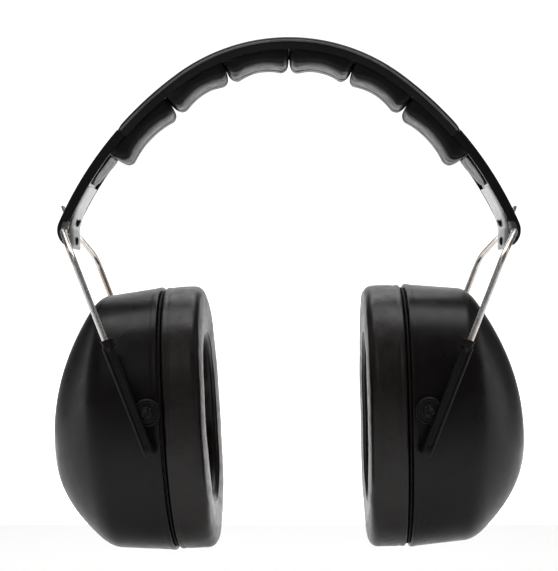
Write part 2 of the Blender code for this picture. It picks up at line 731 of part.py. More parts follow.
def make_side(name, cup):
    """Everything at one end of the headband."""
    side = cup["side"]
    make_end_pad(name + "_end_pad", side)
    make_end_cap(name + "_end_cap", side)
    make_clip(name + "_hinge_clip", side)
    for place in RIVET_GRIPS:
        make_rivet(f"{name}_{place}_rivet", side, place)
    make_lock_tab(name + "_lock_tab", side)

    hinge = empty_at(name + "_fold_axis", hinge_place(side))
    make_wire(name + "_wire_yoke", side, hinge)
    middle = arm_point(side, 1, (SLEEVE_TOP + SLEEVE_BOTTOM) / 2)
    slide = empty_at(name + "_slide_axis", (middle.x, 0.0, middle.z), hinge)
    for place, front in (("front", -1), ("rear", 1)):
        make_sleeve(f"{name}_{place}_sleeve", side, front, slide, cup["pivot_z"])
    pivot = empty_at(name + "_tilt_axis", (side * PIVOT_X[side], 0.0, cup["pivot_z"]), slide)
    make_cup(name, cup, pivot)


def main():
    make_spring()
    make_cover()
    make_pads()
    for name, cup in CUPS.items():
        make_side(name, cup)
    bpy.context.view_layer.update()


main()
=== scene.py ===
"""The looks of the folding hearing protection earmuffs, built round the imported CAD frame.

Metres, +Z up. X runs from the left cup to the right cup, and +Y towards the back of the head.
A run is a distance along the headband's outer line from the crown, positive to the right.
An inset is a distance in from that line, towards the head.
"""

from math import copysign, cos, exp, pi, radians, sin, sqrt, tan

import bmesh
import bpy
from mathutils import Matrix, Vector, noise


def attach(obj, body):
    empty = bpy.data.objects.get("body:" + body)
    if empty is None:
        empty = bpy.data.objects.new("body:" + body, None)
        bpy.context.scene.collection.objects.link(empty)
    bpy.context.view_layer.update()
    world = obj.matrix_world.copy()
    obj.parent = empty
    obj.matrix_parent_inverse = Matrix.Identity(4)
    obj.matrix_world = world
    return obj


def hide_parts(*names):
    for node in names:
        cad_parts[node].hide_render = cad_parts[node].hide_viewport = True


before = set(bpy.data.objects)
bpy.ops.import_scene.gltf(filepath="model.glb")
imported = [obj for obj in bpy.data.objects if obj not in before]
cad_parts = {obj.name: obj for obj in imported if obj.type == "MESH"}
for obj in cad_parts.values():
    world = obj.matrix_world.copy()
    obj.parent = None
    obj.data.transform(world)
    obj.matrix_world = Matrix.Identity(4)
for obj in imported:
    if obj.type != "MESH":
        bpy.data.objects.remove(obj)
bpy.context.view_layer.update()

MM = 0.001
SIDES = {"left": -1, "right": 1}
FRONTS = {"front": -1, "rear": 1}

# Headband, as in the part: a chain of arcs, each a radius and a turn.
BAND_ARCS = ((77.0 * MM, radians(36.3)), (148.9 * MM, radians(30.1)), (8.0 * MM, radians(80.0)))
CROWN_Z = 155.5 * MM
BAND_HALF_WIDTH = 17.6 * MM
CHANNEL_HALF_WIDTH = 16.0 * MM
LIP_START = BAND_ARCS[0][0] * BAND_ARCS[0][1] + BAND_ARCS[1][0] * BAND_ARCS[1][1]
LIP_END = LIP_START + BAND_ARCS[2][0] * BAND_ARCS[2][1]
COVER_END = 82.0 * MM
COVER_SKIN = 1.8 * MM
COVER_DEPTH = 5.0 * MM
PIPING_RADIUS = 0.45 * MM
PIPING_INSET = 1.55 * MM
CAP_START = 82.08 * MM
CAP_OUTER = 0.4 * MM
CAP_WEB_INNER = 2.0 * MM
CAP_DEPTH = 4.4 * MM
CAP_FLANGE_END = LIP_START - 1.6 * MM
SPRING_END = 119.2 * MM

# Pads, before they are filled: depths are insets of their undersides.
PAD_EDGES = (0.0, 29.2 * MM, 58.4 * MM, 91.9 * MM)
PAD_CREASE = 0.3 * MM
PAD_TOP = 3.5 * MM
PAD_WAIST = 10.6 * MM
PAD_END_DEPTH = 13.1 * MM
PAD_CORNER = 4.2 * MM
PAD_CORNER_DROP = 6.2 * MM
PAD_ROUNDING = 3.2 * MM
PAD_POWER = 3.0
PAD_HALF_WIDTH = 15.5 * MM
END_PAD_TIP = 106.6 * MM
END_PAD_DEPTHS = (5.5 * MM, 4.5 * MM)
END_PAD_HALF_WIDTHS = (14.2 * MM, 9.0 * MM)

# Hinges.
HINGE_INSET = 3.6 * MM
HINGE_RUN = LIP_START + 4.2 * MM
CLIP_HALF_WIDTH = 15.0 * MM
CLIP_THICKNESS = 0.9 * MM
CLIP_START = 107.6 * MM
CLIP_SEAT = 3.95 * MM
CLIP_LEAD = 1.6 * MM
TONGUE_LENGTH = 7.0 * MM
CROSSBAR_CLEARANCE = 0.3 * MM
RIVET_OFFSET = 7.2 * MM
RIVET_GRIPS = {"upper": 3.4 * MM, "lower": 1.5 * MM}
RIVET_RADIUS = 1.1 * MM
RIVET_HEAD_RADIUS = 1.8 * MM
LOWER_RIVET_OUT = -1.3 * MM
LOWER_RIVET_DROP = 3.4 * MM
TAB_HALF_WIDTH = 4.0 * MM
TAB_RUN = 122.2 * MM
TAB_REACH = 2.4 * MM
TAB_RISE = 2.0 * MM
TAB_THICKNESS = 0.8 * MM

# Wire yokes and sleeves. An arm's distance from the middle is given at one height.
WIRE_RADIUS = 1.25 * MM
ARM_LEAN = radians(21.3)
ARM_X = {-1: 77.8 * MM, 1: 76.8 * MM}
ARM_X_HEIGHT = 48.6 * MM
ARM_Y = 46.5 * MM
ARM_TOP = 67.5 * MM
ARM_BOTTOM = 1.0 * MM
CROSSBAR_HALF = 25.5 * MM
WIRE_BEND = 6.0 * MM
SLEEVE_TOP = 32.4 * MM
SLEEVE_BOTTOM = -12.0 * MM
SLEEVE_LENGTH = (SLEEVE_TOP - SLEEVE_BOTTOM) / cos(ARM_LEAN)
SLEEVE_WIDTH = 4.2 * MM
SLEEVE_DEPTH = 5.4 * MM
SLEEVE_BORE = 1.5 * MM
GROOVE_DEPTH = 0.65 * MM
GROOVE_END = 4.2 * MM
COLLAR_OFFSET = 0.7 * MM
COLLAR_WIDTH = 4.6 * MM
COLLAR_DEPTH = 5.8 * MM
COLLAR_HEIGHT = 2.9 * MM
PIVOT_X = {-1: 55.5 * MM, 1: 54.7 * MM}
PIVOT_Z = {"left": 4.6 * MM, "right": 5.4 * MM}
EAR_INNER_Y = 43.9 * MM
STUD_INNER_Y = 43.3 * MM
STUD_SLOT_TURN = radians(35.0)

# Ear cups: half width and height of each oval, depths from the seam, and where each cup stands.
OVAL_POWER = 2.35
CUP_HALVES = (43.0 * MM, 54.2 * MM)
HOLE_HALVES = (22.0 * MM, 33.0 * MM)
LINER_HALVES = (33.0 * MM, 44.0 * MM)
SHELL_THICKNESS = 2.4 * MM
SHELL_LIP = 0.8 * MM
WALL_DEPTH = 26.0 * MM
WALL_TAPER = 0.045
WALL_END = 22.4 * MM
DOME_HEIGHT = 22.8 * MM
DOME_POWER = 2.15
DOME_DROP = 11.0 * MM
CUSHION_BACK = 1.6 * MM
CUSHION_WIDTH = 21.0
SEAMS = {"left": (-48.6 * MM, 0.0, -0.2 * MM), "right": (48.2 * MM, 0.0, 1.1 * MM)}
LEANS = {"left": radians(3.5), "right": radians(-1.2)}
TURNS = {"left": radians(177.0), "right": radians(0.5)}

# Camera: where it stands in front, and the middle and width of what it sees at Y = 0.
CAMERA_DISTANCE = 750.0 * MM
CAMERA_Z = 48.6 * MM
VIEW_WIDTH = 231.6 * MM
VIEW_CENTRE = (-4.15 * MM, 54.62 * MM)
SENSOR_WIDTH = 36.0

# Studio.
FLOOR_Z = -0.1
BACKDROP_HALF_WIDTH = 1.6
BACKDROP_LINE = ((0.45, 0.001), (0.75, 0.004), (1.05, 0.03), (1.2, 0.14), (1.25, 0.3), (1.25, 1.7))
BACKDROP_FADE = (0.34, 0.62)
BACKDROP_GLOW = (1.1, 0.04)
BACKDROP_TONES = (0.93, 0.06)

# The cloth run, and the soft pieces that it fills.
CLOTH_FRAMES = 20
SOFT = []


# ---- Meshes ----

class Shape:
    """Points and faces gathered for one mesh."""

    def __init__(self):
        self.points = []
        self.faces = []

    def rows(self, rows, around=True, wrap=False, ends=""):
        """Quads between rows of points; ends may be "flat", "fan" or nothing."""
        count = len(rows[0])
        start = len(self.points)
        for row in rows:
            self.points.extend(Vector(point) for point in row)
        lines = len(rows)
        for r in range(lines if wrap else lines - 1):
            low = start + r * count
            high = start + (r + 1) % lines * count
            for i in range(count if around else count - 1):
                j = (i + 1) % count
                self.faces.append((low + i, low + j, high + j, high + i))
        last = start + (lines - 1) * count
        if ends == "flat":
            self.faces.append(tuple(range(start, start + count)))
            self.faces.append(tuple(range(last, last + count)))
        if ends == "fan":
            for first in (start, last):
                centre = sum((self.points[first + i] for i in range(count)), Vector()) / count
                self.points.append(centre)
                for i in range(count):
                    self.faces.append((first + i, first + (i + 1) % count, len(self.points) - 1))
        return self

    def move(self, matrix):
        self.points = [matrix @ point for point in self.points]
        return self

    def mesh(self, name, sharp=40.0):
        work = bmesh.new()
        corners = [work.verts.new(point) for point in self.points]
        for face in self.faces:
            work.faces.new([corners[i] for i in face])
        bmesh.ops.recalc_face_normals(work, faces=work.faces)
        mesh = bpy.data.meshes.new(name)
        work.to_mesh(mesh)
        work.free()
        mesh.shade_smooth()
        mesh.set_sharp_from_angle(angle=radians(sharp))
        return mesh


def add(name, mesh, look, body, nodes=()):
    """Puts a finished mesh in the scene, in place of its CAD nodes, riding on a body."""
    item = bpy.data.objects.new(name, mesh)
    bpy.context.scene.collection.objects.link(item)
    mesh.materials.clear()
    mesh.materials.append(look)
    if nodes:
        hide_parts(*nodes)
    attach(item, body)
    return item


def smooth(low, high, value):
    """An S curve from 0 at low to 1 at high."""
    t = min(1.0, max(0.0, (value - low) / (high - low)))
    return t * t * (3.0 - 2.0 * t)


def steps(low, high, count):
    """Evenly spaced values from low to high, in this many steps."""
    return [low + (high - low) * i / count for i in range(count + 1)]


def turned(profile, steps_round):
    """Rows of points for a round piece: (radius, height) pairs turned about Z."""
    rows = []
    for radius, height in profile:
        rows.append([(radius * cos(2 * pi * i / steps_round), radius * sin(2 * pi * i / steps_round), height)
                     for i in range(steps_round)])
    return rows


def tube_rows(path, radius, sides=20):
    """Rows of points round a path, carried along it without twist, with rounded ends."""
    path = [Vector(point) for point in path]
    aheads = []
    for i in range(len(path)):
        before = path[max(i - 1, 0)]
        after = path[min(i + 1, len(path) - 1)]
        aheads.append((after - before).normalized())
    aside = aheads[0].orthogonal().normalized()
    rows = []

    def ring(centre, ahead, aside, reach):
        other = ahead.cross(aside)
        return [centre + reach * (aside * cos(2 * pi * k / sides) + other * sin(2 * pi * k / sides))
                for k in range(sides)]

    for angle in (0.15, 0.5, 0.9, 1.25):
        rows.append(ring(path[0] + aheads[0] * 0.35 * radius * (1 - sin(angle)), aheads[0], aside,
                         radius * sin(angle)))
    for i, (centre, ahead) in enumerate(zip(path, aheads)):
        if i:
            aside = (aside - ahead * aside.dot(ahead)).normalized()
        if 0 < i < len(path) - 1:
            rows.append(ring(centre, ahead, aside, radius))
    for angle in (1.25, 0.9, 0.5, 0.15):
        rows.append(ring(path[-1] - aheads[-1] * 0.35 * radius * (1 - sin(angle)), aheads[-1], aside,
                         radius * sin(angle)))
    return rows


def rounded_path(corners, bend, count):
    """A route whose corners are smooth bends, with points along its straight runs as well."""
    path = [Vector(corners[0])]
    for before, corner, after in zip(corners, corners[1:], corners[2:]):
        corner = Vector(corner)
        start = corner + (Vector(before) - corner).normalized() * bend
        end = corner + (Vector(after) - corner).normalized() * bend
        path.append((path[-1] + start) / 2)
        for i in range(count + 1):
            t = i / count
            path.append((1 - t) ** 2 * start + 2 * t * (1 - t) * corner + t ** 2 * end)
    path.append(Vector(corners[-1]))
    return path


def box_grid(xs, ys, zs):
    """The points on a box's faces, each once, and its quads, on the lines given by three lists."""
    index = {}
    points = []
    faces = []
    ends = (len(xs) - 1, len(ys) - 1, len(zs) - 1)

    def corner(*key):
        if key not in index:
            index[key] = len(points)
            points.append(Vector((xs[key[0]], ys[key[1]], zs[key[2]])))
        return index[key]

    for axis in range(3):
        first, second = [a for a in range(3) if a != axis]
        for level in (0, ends[axis]):
            for i in range(ends[first]):
                for j in range(ends[second]):
                    face = []
                    for di, dj in ((0, 0), (1, 0), (1, 1), (0, 1)):
                        key = [0, 0, 0]
                        key[axis] = level
                        key[first] = i + di
                        key[second] = j + dj
                        face.append(corner(*key))
                    faces.append(tuple(face))
    return points, faces


# ---- Materials ----

class Look:
    """A material being made. Each call adds nodes that vary over the surface."""

    def __init__(self, name, colour, roughness, metallic=0.0):
        self.material = bpy.data.materials.new(name)
        self.material.use_nodes = True
        self.tree = self.material.node_tree
        self.shader = self.tree.nodes["Principled BSDF"]
        self.shader.inputs["Base Color"].default_value = (*colour, 1.0)
        self.shader.inputs["Roughness"].default_value = roughness
        self.shader.inputs["Metallic"].default_value = metallic
        self.place = self.tree.nodes.new("ShaderNodeTexCoord").outputs["Object"]
        self.normal = None

    def set(self, **values):
        """Uniform values, by the shader's input names with underscores for spaces."""
        for name, value in values.items():
            self.shader.inputs[name.replace("_", " ")].default_value = value
        return self

    def link(self, source, target):
        self.tree.links.new(source, target)

    def pattern(self, kind, scale):
        """A texture node of this kind, with this many features to a metre along X, Y and Z."""
        mapping = self.tree.nodes.new("ShaderNodeMapping")
        mapping.inputs["Scale"].default_value = scale
        self.link(self.place, mapping.inputs["Vector"])
        node = self.tree.nodes.new(kind)
        node.inputs["Scale"].default_value = 1.0
        self.link(mapping.outputs["Vector"], node.inputs["Vector"])
        return node

    def noise(self, size, detail=3.0, stretch=(1.0, 1.0, 1.0), rough=0.5):
        """A cloudy pattern with features about this big, in metres; stretch above 1 squeezes an axis."""
        node = self.pattern("ShaderNodeTexNoise", [s / size for s in stretch])
        node.inputs["Detail"].default_value = detail
        node.inputs["Roughness"].default_value = rough
        return node.outputs["Fac"]

    def cells(self, size, feature="F1"):
        """Round cells or pebbles about this big, in metres."""
        node = self.pattern("ShaderNodeTexVoronoi", [1.0 / size] * 3)
        node.feature = feature
        return node.outputs["Distance"]

    def spread(self, value, low, high, start=0.3, end=0.7):
        """A value that runs from low to high while the pattern runs from start to end."""
        node = self.tree.nodes.new("ShaderNodeMapRange")
        node.inputs["From Min"].default_value = start
        node.inputs["From Max"].default_value = end
        node.inputs["To Min"].default_value = low
        node.inputs["To Max"].default_value = high
        self.link(value, node.inputs["Value"])
        return node.outputs["Result"]

    def tint(self, value, first, second, start=0.35, end=0.65):
        """A colour that runs from the first to the second with the pattern."""
        node = self.tree.nodes.new("ShaderNodeMix")
        node.data_type = "RGBA"
        node.inputs["A"].default_value = (*first, 1.0)
        node.inputs["B"].default_value = (*second, 1.0)
        self.link(self.spread(value, 0.0, 1.0, start, end), node.inputs["Factor"])
        output = next(socket for socket in node.outputs if socket.type == "RGBA")
        self.link(output, self.shader.inputs["Base Color"])
        return self

    def rough(self, value, low, high, start=0.3, end=0.7):
        self.link(self.spread(value, low, high, start, end), self.shader.inputs["Roughness"])
        return self

    def bump(self, value, height, strength=1.0):
        """Relief of about this height, in metres."""
        node = self.tree.nodes.new("ShaderNodeBump")
        node.inputs["Strength"].default_value = strength
        node.inputs["Distance"].default_value = height
        self.link(value, node.inputs["Height"])
        if self.normal is not None:
            self.link(self.normal, node.inputs["Normal"])
        self.normal = node.outputs["Normal"]
        self.link(self.normal, self.shader.inputs["Normal"])
        return self


def satin_plastic(name, dark, light, roughness):
    """Moulded plastic: a fine spark-eroded texture, faint handling marks, slightly uneven gloss."""
    look = Look(name, dark, roughness)
    look.set(Specular_IOR_Level=0.26)
    look.tint(look.noise(14 * MM, 4.0), dark, light)
    look.rough(look.noise(6 * MM, 5.0, rough=0.62), roughness - 0.05, roughness + 0.07)
    look.bump(look.noise(0.35 * MM, 2.0), 0.012 * MM)
    look.bump(look.noise(9 * MM, 2.0), 0.05 * MM)
    return look.material


def vinyl(name, dark, light, roughness, grain, shine=0.26):
    """Soft vinyl: pebbled grain at its own scale, over slow unevenness of the foam under it."""
    look = Look(name, dark, roughness)
    look.set(Specular_IOR_Level=shine)
    look.tint(look.noise(11 * MM, 4.0), dark, light)
    look.rough(look.noise(3.5 * MM, 5.0, rough=0.6), roughness - 0.06, roughness + 0.09)
    look.bump(look.noise(7 * MM, 3.0), 0.16 * MM)
    look.bump(look.cells(grain, "SMOOTH_F1"), 0.05 * MM, 0.7)
    look.bump(look.noise(0.3 * grain, 2.0), 0.01 * MM)
    return look.material


def open_foam(name):
    """Open-cell foam: its pits are painted darker than the struts between them, as painted shade in the
    recesses.
    """
    look = Look(name, (0.02, 0.014, 0.011), 0.95)
    pits = look.cells(1.3 * MM)
    # Painted shade: the same cells that sink the pits in the bump make them darker in colour.
    look.tint(pits, (0.006, 0.0042, 0.0035), (0.032, 0.021, 0.016), 0.15, 0.65)
    look.rough(look.noise(2 * MM), 0.88, 1.0)
    look.bump(pits, 0.5 * MM)
    look.bump(look.noise(0.7 * MM, 3.0), 0.3 * MM)
    return look.material


def brushed_steel(name, roughness):
    """Strip steel: fine brush lines along the band and a few broader streaks."""
    look = Look(name, (0.6, 0.6, 0.61), roughness, 1.0)
    along = (0.06, 6.0, 0.06)
    look.tint(look.noise(1.2 * MM, 4.0, along), (0.34, 0.34, 0.345), (0.5, 0.5, 0.5))
    look.rough(look.noise(0.5 * MM, 4.0, along), roughness - 0.08, roughness + 0.12)
    look.bump(look.noise(0.35 * MM, 3.0, along), 0.012 * MM)
    look.bump(look.noise(5 * MM, 2.0), 0.03 * MM)
    return look.material


def bright_wire(name):
    """Drawn wire: bright, with long fine draw lines and a faint warm stain."""
    look = Look(name, (0.8, 0.77, 0.74), 0.26, 1.0)
    look.tint(look.noise(16 * MM, 3.0), (0.86, 0.85, 0.84), (0.7, 0.58, 0.48), 0.45, 0.72)
    look.rough(look.noise(0.9 * MM, 3.0, (2.5, 2.5, 0.08)), 0.2, 0.36)
    look.bump(look.noise(0.5 * MM, 3.0, (2.5, 2.5, 0.05)), 0.008 * MM)
    return look.material


SHELL_LOOK = satin_plastic("shell_satin_plastic", (0.0046, 0.0032, 0.0034), (0.0064, 0.0048, 0.005), 0.31)
MOULDED_LOOK = satin_plastic("moulded_black_plastic", (0.0042, 0.0036, 0.0037),
                             (0.006, 0.0052, 0.0053), 0.42)
PLATE_LOOK = satin_plastic("plate_black_plastic", (0.0018, 0.0015, 0.0015), (0.003, 0.0026, 0.0026), 0.7)
COVER_LOOK = vinyl("cover_grained_vinyl", (0.0095, 0.0094, 0.0097), (0.0145, 0.0143, 0.0147), 0.46, 0.9 * MM)
# The piping's light grey is a painted highlight: the bright line along each edge of the cover is put into the
# cord's colour.
PIPING_HIGHLIGHT_LOOK = vinyl("cover_piping_painted_highlight", (0.11, 0.11, 0.112), (0.16, 0.16, 0.16), 0.42, 0.5 * MM)
PAD_LOOK = vinyl("pad_soft_vinyl", (0.005, 0.0039, 0.0041), (0.0072, 0.0058, 0.0061), 0.42, 0.7 * MM)
CUSHION_LOOK = vinyl("cushion_smooth_vinyl", (0.0052, 0.0031, 0.0025), (0.0075, 0.0049, 0.004), 0.36,
                     0.45 * MM, 0.46)
FOAM_LOOK = open_foam("liner_open_foam")
STEEL_LOOK = brushed_steel("spring_brushed_steel", 0.42)
WIRE_LOOK = bright_wire("wire_bright_steel")


# ---- Soft pieces ----

def soft(item, pins, caps, lifts, pressure):
    """Notes a soft piece for the cloth run: which points are held, how far each may move, and how
    far each is lifted afterwards for its seams and wrinkles."""
    SOFT.append((item, pins, caps, lifts, pressure))


def set_up_cloth(item, pins, pressure):
    """A stiff skin with air in it, held at its pinned points."""
    group = item.vertex_groups.new(name="pinned")
    for i, weight in pins.items():
        group.add([i], weight, "REPLACE")
    cloth = item.modifiers.new("cloth", "CLOTH")
    settings = cloth.settings
    settings.quality = 6
    settings.mass = 0.15
    settings.tension_stiffness = 18.0
    settings.compression_stiffness = 18.0
    settings.shear_stiffness = 8.0
    settings.bending_stiffness = 0.8
    settings.use_pressure = True
    settings.uniform_pressure_force = pressure
    settings.vertex_group_mass = "pinned"
    settings.effector_weights.gravity = 0.0
    cloth.point_cache.frame_start = 1
    cloth.point_cache.frame_end = CLOTH_FRAMES


def fill_soft_pieces():
    """One cloth run puffs every soft piece; then each keeps its new shape, its seams and one subdivision."""
    scene = bpy.context.scene
    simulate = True
    if simulate:
        for item, pins, _, _, pressure in SOFT:
            set_up_cloth(item, pins, pressure)
        for number in range(1, CLOTH_FRAMES + 1):
            scene.frame_set(number)
    depsgraph = bpy.context.evaluated_depsgraph_get()
    shapes = []
    for item, _, caps, _, _ in SOFT:
        rest = [vertex.co.copy() for vertex in item.data.vertices]
        shape = rest
        if simulate:
            puffed = item.evaluated_get(depsgraph).data
            shape = [limited(start, end.co, cap) for start, end, cap in zip(rest, puffed.vertices, caps)]
        shapes.append(shape)
    for (item, _, _, lifts, _), shape in zip(SOFT, shapes):
        if simulate:
            item.modifiers.clear()
            item.vertex_groups.clear()
        for vertex, point in zip(item.data.vertices, shape):
            vertex.co = point
        item.data.update()
        normals = [vertex.normal.copy() for vertex in item.data.vertices]
        for vertex, normal, lift in zip(item.data.vertices, normals, lifts):
            vertex.co += normal * lift
        finer = item.modifiers.new("finer", "SUBSURF")
        finer.levels = 1
        finer.render_levels = 1
    scene.frame_set(1)


def limited(start, end, cap):
    """The end point, brought back to within the cap of the start."""
    move = end - start
    if move.length > cap:
        move *= cap / move.length
    return start + move


# ---- Headband ----

def band_point(run, inset=0.0):
    """The X and Z at a run and an inset."""
    side = copysign(1.0, run)
    rest = abs(run)
    angle = 0.0
    centre = Vector((0.0, CROWN_Z - BAND_ARCS[0][0]))
    for (radius, turn), following in zip(BAND_ARCS, BAND_ARCS[1:]):
        if rest <= radius * turn:
            break
        rest -= radius * turn
        angle += turn
        centre += (radius - following[0]) * Vector((sin(angle), cos(angle)))
    else:
        radius = BAND_ARCS[-1][0]
    angle += rest / radius
    reach = radius - inset
    return (side * (centre.x + reach * sin(angle)), centre.y + reach * cos(angle))


def on_band(run, across, inset):
    """The point at a run, a distance across the band and an inset."""
    x, z = band_point(run, inset)
    return Vector((x, across, z))


def channel_section(half, inner_half, outer, web, depth, rounding, crown):
    """Points (across, inset) of a channel with rounded outer corners and a slightly crowned top."""
    corner = [(-half + rounding * (1 - cos(angle)), outer + rounding * (1 - sin(angle)))
              for angle in steps(0.0, pi / 2, 6)]
    mirrored = [(-y, inset) for y, inset in reversed(corner)]
    top = [(y, outer - crown * (1.0 - (y / half) ** 2))
           for y in steps(rounding - half, half - rounding, 16)[1:-1]]
    return [(-half, depth), *corner, *top, *mirrored, (half, depth), (inner_half, depth), (inner_half, web),
            (0.0, web), (-inner_half, web), (-inner_half, depth)]


def make_cover():
    """The upholstered strip: a crowned vinyl channel with piping along each edge, whose light grey is a
    painted highlight along the edge.
    """
    rows = []
    for run in steps(-COVER_END, COVER_END, 72):
        end = COVER_END - abs(run)
        tuck = 0.5 * MM * exp(-end / (0.8 * MM))
        rows.append([on_band(run, y, inset + (tuck if inset < 3 * MM else 0.0)) for y, inset in
                     channel_section(BAND_HALF_WIDTH, CHANNEL_HALF_WIDTH, 0.1 * MM, COVER_SKIN, COVER_DEPTH,
                                     1.2 * MM, 0.4 * MM)])
    shape = Shape().rows(rows, ends="flat")
    add("cover", shape.mesh("cover"), COVER_LOOK, "headband", ["headband_cover"])
    # Piping cords in light grey vinyl, which paints the edge highlight into their colour.
    for place, front in FRONTS.items():
        path = [on_band(run, front * (BAND_HALF_WIDTH - 0.05 * MM), PIPING_INSET)
                for run in steps(-COVER_END + 0.6 * MM, COVER_END - 0.6 * MM, 90)]
        piping = Shape().rows(tube_rows(path, PIPING_RADIUS, 10), ends="fan")
        add(f"cover_piping_{place}", piping.mesh("piping"), PIPING_HIGHLIGHT_LOOK, "headband", ())


def pad_grid(length, half, height, radius=1.3 * MM):
    """A box of points with rounded edges, finer near its edges and seams."""
    edge = [0.0, 0.35, 0.7, 1.0]
    xs = [radius * e for e in edge] + steps(radius, length - radius, 20)[1:-1]
    xs += [length - radius * e for e in reversed(edge)]
    inner = half - radius
    ys = [-half + radius * e for e in edge]
    ys += steps(-inner, -9 * MM, 5)[1:] + steps(-9 * MM, -1.5 * MM, 5)[1:]
    ys += [-0.9 * MM, -0.4 * MM, 0.0]
    ys += [-y for y in reversed(ys[:-1])]
    zs = [radius * e for e in edge] + steps(radius, height - radius, 5)[1:-1]
    zs += [height - radius * e for e in reversed(edge)]
    points, faces = box_grid(xs, ys, zs)
    for point in points:
        core = Vector((min(max(point.x, radius), length - radius), min(max(point.y, -inner), inner),
                       min(max(point.z, radius), height - radius)))
        away = point - core
        if away.length > 0.0:
            point[:] = core + away.normalized() * radius
    return points, faces


def make_pad(name, node, start, end, depth_at, width_at, rounding):
    """A welded vinyl pad: its top and seam lines are held, and its panels puff out between them."""
    length = abs(end - start)
    way = 1.0 if end > start else -1.0
    height = PAD_END_DEPTH - PAD_TOP
    points, faces = pad_grid(length, PAD_HALF_WIDTH, height)
    shape = Shape()
    pins = {}
    caps = []
    lifts = []
    for i, (a, y, z) in enumerate(points):
        near = min(a, length - a)
        half = width_at(a, length)
        y *= half / PAD_HALF_WIDTH
        pull = 0.7 * MM * exp(-near / (1.8 * MM)) * smooth(0.5 * MM, 4 * MM, z)
        curve = 1.0 - (1.0 - min(1.0, abs(y) / half) ** PAD_POWER) ** (1.0 / PAD_POWER)
        bottom = depth_at(a, length) - rounding * curve
        depth = PAD_TOP + z / height * (bottom - PAD_TOP)
        across = y - copysign(pull, y) if abs(y) > half - 2 * MM else y
        shape.points.append(on_band(start + way * a, across, depth))
        if z < 0.6 * MM:
            pins[i] = 1.0
        elif abs(y) < 0.3 * MM and z > height - 0.8 * MM:
            pins[i] = 0.7
        bulk = min(1.0, (bottom - PAD_TOP) / (6 * MM))
        caps.append((0.1 if near < 1.5 * MM else 0.9) * bulk * MM)
        seam = -0.5 * MM * exp(-(y / (0.5 * MM)) ** 2)
        seam += 0.12 * MM * exp(-((abs(y) - 1.1 * MM) / (0.5 * MM)) ** 2)
        seam *= smooth(0.7, 0.95, z / height) * smooth(0.0, 2.0 * MM, near)
        fold = noise.noise(Vector((a * 320.0, z * 90.0, y * 260.0 + start * 900.0)))
        crease = 0.6 * MM * fold * exp(-((near - 2.5 * MM) / (3 * MM)) ** 2) * smooth(1 * MM, 4 * MM, z)
        ripple = 0.16 * MM * noise.noise(Vector((a * 190.0 + start * 700.0, y * 150.0, z * 150.0)))
        lifts.append(bulk * (seam + crease + ripple * smooth(1 * MM, 3 * MM, z)))
    shape.faces = faces
    pad = add(name, shape.mesh(name, 180.0), PAD_LOOK, "headband", [node])
    soft(pad, pins, caps, lifts, 6.0)


def pad_depth(along, length):
    """A fat pad is shallowest at its middle, and its underside's ends are rounded."""
    spread = (2.0 * along / length - 1.0) ** 2
    depth = PAD_WAIST + (PAD_END_DEPTH - PAD_WAIST) * spread
    edge = min(along, length - along)
    if edge < PAD_CORNER:
        depth -= PAD_CORNER_DROP * (1.0 - sqrt(1.0 - (1.0 - max(edge, 0.0) / PAD_CORNER) ** 2))
    return depth


def pad_half_width(along, length):
    """A fat pad is equally wide all along."""
    return PAD_HALF_WIDTH


def end_pad_half_width(along, length):
    """The flap narrows to a rounded tongue."""
    wide, narrow = END_PAD_HALF_WIDTHS
    left = min(1.0, (length - along) / (5.0 * MM))
    return (wide + (narrow - wide) * (along / length) ** 2) * (0.35 + 0.65 * sqrt(left * (2.0 - left)))


def end_pad_depth(along, length):
    """The flap thins towards the hinge."""
    thick, thin = END_PAD_DEPTHS
    return thick + (thin - thick) * (along / length) ** 1.6


def make_pads():
    """Three fat pads on each side of the crown, and a thin flap beyond them."""
    edges = [-edge for edge in reversed(PAD_EDGES)] + list(PAD_EDGES[1:])
    for number, (start, end) in enumerate(zip(edges, edges[1:]), 1):
        make_pad(f"pad_{number}", f"headband_pad_{number}", start + PAD_CREASE / 2, end - PAD_CREASE / 2,
                 pad_depth, pad_half_width, PAD_ROUNDING)
    for name, side in SIDES.items():
        make_pad(f"{name}_end_flap", f"{name}_end_pad", side * (PAD_EDGES[-1] + PAD_CREASE / 2),
                 side * END_PAD_TIP, end_pad_depth, end_pad_half_width, 0.15 * PAD_ROUNDING)


def make_end_cap(name, side):
    """The moulded channel, whose flanges run out before the lip that curls round the hinge."""
    rows = []
    taper = CAP_FLANGE_END - 3 * MM
    runs = steps(CAP_START, taper, 18) + steps(taper, LIP_START, 8)[1:] + steps(LIP_START, LIP_END, 16)[1:]
    for run in runs:
        flange = 1.0 - smooth(CAP_FLANGE_END - 1.2 * MM, CAP_FLANGE_END + 0.8 * MM, run)
        tip = smooth(LIP_END - 0.7 * MM, LIP_END, run) * 0.4 * MM
        depth = CAP_WEB_INNER + (CAP_DEPTH - CAP_WEB_INNER) * flange
        half = BAND_HALF_WIDTH - 0.6 * MM * smooth(LIP_END - 2 * MM, LIP_END, run)
        inner_half = CHANNEL_HALF_WIDTH - 0.6 * MM * smooth(LIP_END - 2 * MM, LIP_END, run)
        section = channel_section(half, inner_half, CAP_OUTER + tip, CAP_WEB_INNER - tip,
                                  max(depth - tip, CAP_WEB_INNER - tip), 1.0 * MM, 0.0)
        rows.append([on_band(side * run, y, inset) for y, inset in section])
    cap = Shape().rows(rows, ends="flat").mesh(name, 35.0)
    add(f"{name}_end_channel", cap, MOULDED_LOOK, "headband", [f"{name}_end_cap"])


